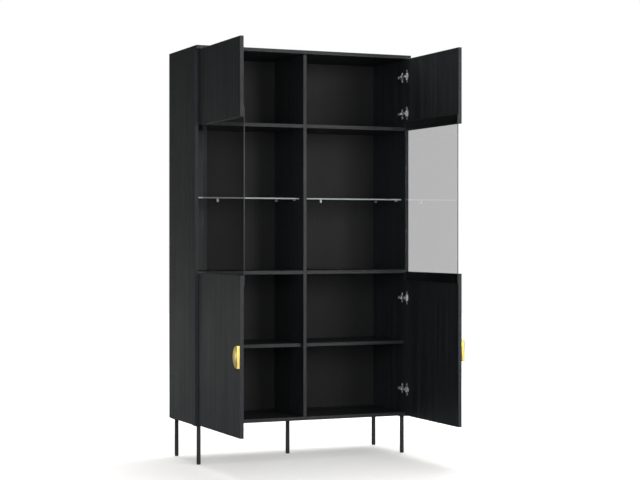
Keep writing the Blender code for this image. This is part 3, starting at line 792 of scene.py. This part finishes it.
for side, s in (("left", -1), ("right", 1)):
    for number in range(1, 5):
        node = f"{side}_hinge_arm_{number}"
        low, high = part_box(node)
        place = hinge_frame(s, (low.z + high.z) / 2)
        arm = bmesh.new()
        put(arm, arm_shape(), place)
        cross = block((0.0480, 0.0140, 0.0020), corner=0.0045, arris=0.0004)
        put(arm, cross, place @ Matrix.Translation((0.0013, PLATE_BACK, 0.0)) @ FLAT_ON_BOARD)
        rail = block((0.0170, 0.0340, 0.0035), corner=0.0020, arris=0.0005)
        put(arm, rail, place @ Matrix.Translation((0.00205, PLATE_BACK, 0.0)) @ FLAT_ON_BOARD)
        for spread in (-PLATE_SCREW_SPREAD, PLATE_SCREW_SPREAD):
            put(arm, pan_screw(PLATE_SCREW, PLATE_SCREW_HEAD),
                place @ facing((0.0022, PLATE_BACK, spread), (1.0, 0.0, 0.0)))
        side_setting, depth_setting = pan_screw(0.0033, 0.0015), pan_screw(0.0036, 0.0018)
        put(arm, side_setting, place @ facing((0.0182, 0.0310, 0.0), (0.94, 0.34, 0.0)))
        put(arm, depth_setting, place @ facing((0.0148, 0.0480, 0.0), (1.0, 0.0, 0.0)))
        put(arm, lathe(RIVET_PROFILE, 20), place @ Matrix.Translation((ARM_PIN_IN, ARM_PIN_BACK, 0.0)))
        fit_piece(f"{side}_hinge_body_{number}", arm, (nickel,), "carcass", "nickel", node)


# ------------------------------------------------------------ hinge links
# A flat steel strap, its front end rolled into an eye round the arm's pin
# and its other end bent into the cup round the cup's pin.
LINK_SHEET = 0.0013
LINK_HEIGHT = 0.009
CUP_PIN_IN, CUP_PIN_BACK = 0.00651, -0.02328
ELBOW_IN, ELBOW_BACK = 0.01406, -0.02349
EYE = 0.0018
ELBOW = 0.0026


def link_shape():
    """The strap as one bent chain, pulled to its height and given its sheet."""
    chain = bow((ARM_PIN_IN, ARM_PIN_BACK), EYE, -230, 40, 14)
    chain += bow((ELBOW_IN + 0.0012, ELBOW_BACK + ELBOW), ELBOW, -20, -110, 5)
    chain += bow((CUP_PIN_IN + 0.0004, CUP_PIN_BACK + 0.0016), EYE, -90, -300, 10)
    shape = bmesh.new()
    verts = [shape.verts.new((x, y, -LINK_HEIGHT / 2)) for x, y in chain]
    edges = [shape.edges.new(pair) for pair in zip(verts, verts[1:])]
    grown = bmesh.ops.extrude_edge_only(shape, edges=edges)["geom"]
    bmesh.ops.translate(shape, verts=[part for part in grown if isinstance(part, bmesh.types.BMVert)],
                        vec=(0.0, 0.0, LINK_HEIGHT))
    bmesh.ops.solidify(shape, geom=shape.faces[:], thickness=LINK_SHEET)
    return shape


for side, s in (("left", -1), ("right", 1)):
    for number in range(1, 5):
        node = f"{side}_hinge_link_{number}"
        low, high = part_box(node)
        link = bmesh.new()
        put(link, link_shape(), hinge_frame(s, (low.z + high.z) / 2))
        fit_piece(f"{side}_hinge_strap_{number}", link, (nickel,), side + "_links", "nickel", node)


# ------------------------------------------------------------ hinge cups
# A drawn steel cup, 35 mm across, let into a bore in the door, with a
# winged flange, two screws and a pin for the strap.
CUP = 0.0173
CUP_LIP = 0.0184
CUP_DEEP = 0.0124
CUP_FLOOR = 0.0112
CUP_PROFILE = ((0.0, -CUP_DEEP), (0.0145, -CUP_DEEP), (0.0166, -0.0117), (CUP, -0.0100), (CUP, 0.0004),
               (CUP_LIP, 0.0004), (CUP_LIP, 0.0010), (CUP_LIP - 0.0003, 0.0013), (0.0169, 0.0013),
               (0.0164, 0.0008), (0.0164, -0.0090), (0.0156, -0.0106), (0.0138, -CUP_FLOOR),
               (0.0, -CUP_FLOOR))
CUP_PIN, CUP_PIN_HALF = 0.0014, 0.0118
CUP_PIN_PROFILE = ((0.0, -CUP_PIN_HALF), (CUP_PIN, -CUP_PIN_HALF),
                   (CUP_PIN, CUP_PIN_HALF), (0.0, CUP_PIN_HALF))
CUP_SCREW, CUP_SCREW_HEAD, CUP_SCREW_OUT = 0.0036, 0.0012, 0.0013
FLANGE_SHEET = 0.0011
FLANGE_OUT = 0.0003
FLANGE_UNDER_LIP = 0.0004
EAR_SPREAD = 0.0240
EAR = 0.0071


def flange_shape():
    """Flat ring round the cup's mouth, its outer edge pulled out into two ears along Y."""
    shape = bmesh.new()
    outer = bmesh.ops.create_circle(shape, segments=96, radius=CUP_LIP)["verts"]
    bmesh.ops.create_circle(shape, segments=96, radius=CUP - FLANGE_UNDER_LIP)
    bmesh.ops.bridge_loops(shape, edges=shape.edges[:])
    for vert in outer:
        across, along = abs(vert.co.x) / CUP_LIP, abs(vert.co.y) / CUP_LIP
        beside = EAR_SPREAD * across
        if beside < EAR:
            ear_edge = EAR_SPREAD * along + math.sqrt(EAR ** 2 - beside ** 2)
            vert.co *= max(1.0, ear_edge / CUP_LIP)
    bmesh.ops.recalc_face_normals(shape, faces=shape.faces)
    bmesh.ops.solidify(shape, geom=shape.faces[:], thickness=FLANGE_SHEET)
    return shape


for side, s in (("left", -1), ("right", 1)):
    inner_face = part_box(side + "_door_lower_panel")[1 if s < 0 else 0].x
    for number in range(1, 5):
        node = f"{side}_hinge_cup_{number}"
        low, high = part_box(node)
        centre = Vector((inner_face, (low.y + high.y) / 2, (low.z + high.z) / 2))
        place = facing(centre, (-s, 0.0, 0.0))
        cup = bmesh.new()
        put(cup, lathe(CUP_PROFILE, 48), place)
        flange = flange_shape()
        lift = Matrix.Translation((0.0, 0.0, FLANGE_OUT - min(vert.co.z for vert in flange.verts)))
        ears_level = abs((place.to_3x3() @ Vector((0.0, 1.0, 0.0))).z) < 0.5
        upright = Matrix.Rotation(math.radians(90 if ears_level else 0), 4, "Z")
        put(cup, flange, place @ lift @ upright)
        for spread in (-EAR_SPREAD, EAR_SPREAD):
            seat = centre + Vector((-s * CUP_SCREW_OUT, 0.0, spread))
            put(cup, pan_screw(CUP_SCREW, CUP_SCREW_HEAD), facing(seat, (-s, 0.0, 0.0)))
        pin_place = Matrix.Translation((CUP_PIN_IN, CUP_PIN_BACK + CUP_PIN, 0.0))
        put(cup, lathe(CUP_PIN_PROFILE, 16), hinge_frame(s, centre.z) @ pin_place)
        fit_piece(f"{side}_cup_{number}", cup, (nickel,), side + "_door", "nickel", node)


# ------------------------------------------------------------ pulls
# One strip of brass-finished sheet bent to a C: a foot screwed to the
# door's face, the wide flange over its free edge and the half-moon grip.
PULL_RADIUS = 0.0465
PULL_SHEET = 0.0024
PULL_STANDOFF = 0.015
PULL_BEND = 0.0028
PULL_FOOT = 0.014
PULL_FOOT_HALF = 0.0372
PULL_SHOULDER = 0.0060
PULL_INNER_BEND = 0.0014
PULL_OFF_DOOR = 0.0003
PULL_ARC_STEPS = 24


def pull_shape():
    """The bent strip: X outwards from the door's face, Y from its free edge to the hinge."""
    half = PULL_SHEET / 2
    grip, foot = PULL_STANDOFF - half + PULL_OFF_DOOR, PULL_OFF_DOOR + half
    chain = [(foot, PULL_FOOT, PULL_FOOT_HALF), (foot, PULL_SHOULDER, PULL_FOOT_HALF),
             (foot, PULL_SHOULDER - 0.0001, PULL_RADIUS)]
    inner_bend = bow((foot + PULL_INNER_BEND, half + PULL_INNER_BEND), PULL_INNER_BEND, 180, 270, 4)
    outer_bend = bow((grip - PULL_BEND, half + PULL_BEND), PULL_BEND, 270, 360, 6)
    chain += [(x, y, PULL_RADIUS) for x, y in inner_bend + outer_bend]
    start = half + PULL_BEND + 0.0004
    for step in range(1, PULL_ARC_STEPS + 1):
        turn = math.radians(90) * step / PULL_ARC_STEPS
        y = start + (PULL_RADIUS - start) * math.sin(turn)
        chain.append((grip, y, PULL_RADIUS * math.cos(turn)))
    shape = bmesh.new()
    lower = [shape.verts.new((x, y, -height)) for x, y, height in chain]
    upper = [shape.verts.new((x, y, height)) for x, y, height in chain]
    edges = [shape.edges.new(pair) for row in (lower, upper) for pair in zip(row, row[1:])]
    bmesh.ops.bridge_loops(shape, edges=edges)
    bmesh.ops.remove_doubles(shape, verts=shape.verts, dist=1e-6)
    return shape


gold = plated("brushed_gold", (0.84, 0.62, 0.17), (0.92, 0.71, 0.22), 0.30, 0.000003, 0.12)
for side, s in (("left", -1), ("right", 1)):
    low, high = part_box(side + "_pull")
    outer_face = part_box(side + "_door_lower_panel")[0 if s < 0 else 1].x
    place = Matrix(((s, 0, 0, outer_face), (0, 1, 0, low.y), (0, 0, 1, (low.z + high.z) / 2), (0, 0, 0, 1)))
    pull = bmesh.new()
    put(pull, pull_shape(), place)
    piece = fit_piece(side + "_half_moon_pull", pull, (gold,), side + "_door", "brushed_gold", side + "_pull")
    sheet = piece.modifiers.new("sheet", "SOLIDIFY")
    sheet.thickness = PULL_SHEET
    sheet.offset = 0.0
    arris = piece.modifiers.new("arris", "BEVEL")
    arris.width = 0.0005
    arris.segments = 2
    arris.limit_method = "ANGLE"
    arris.angle_limit = math.radians(50)
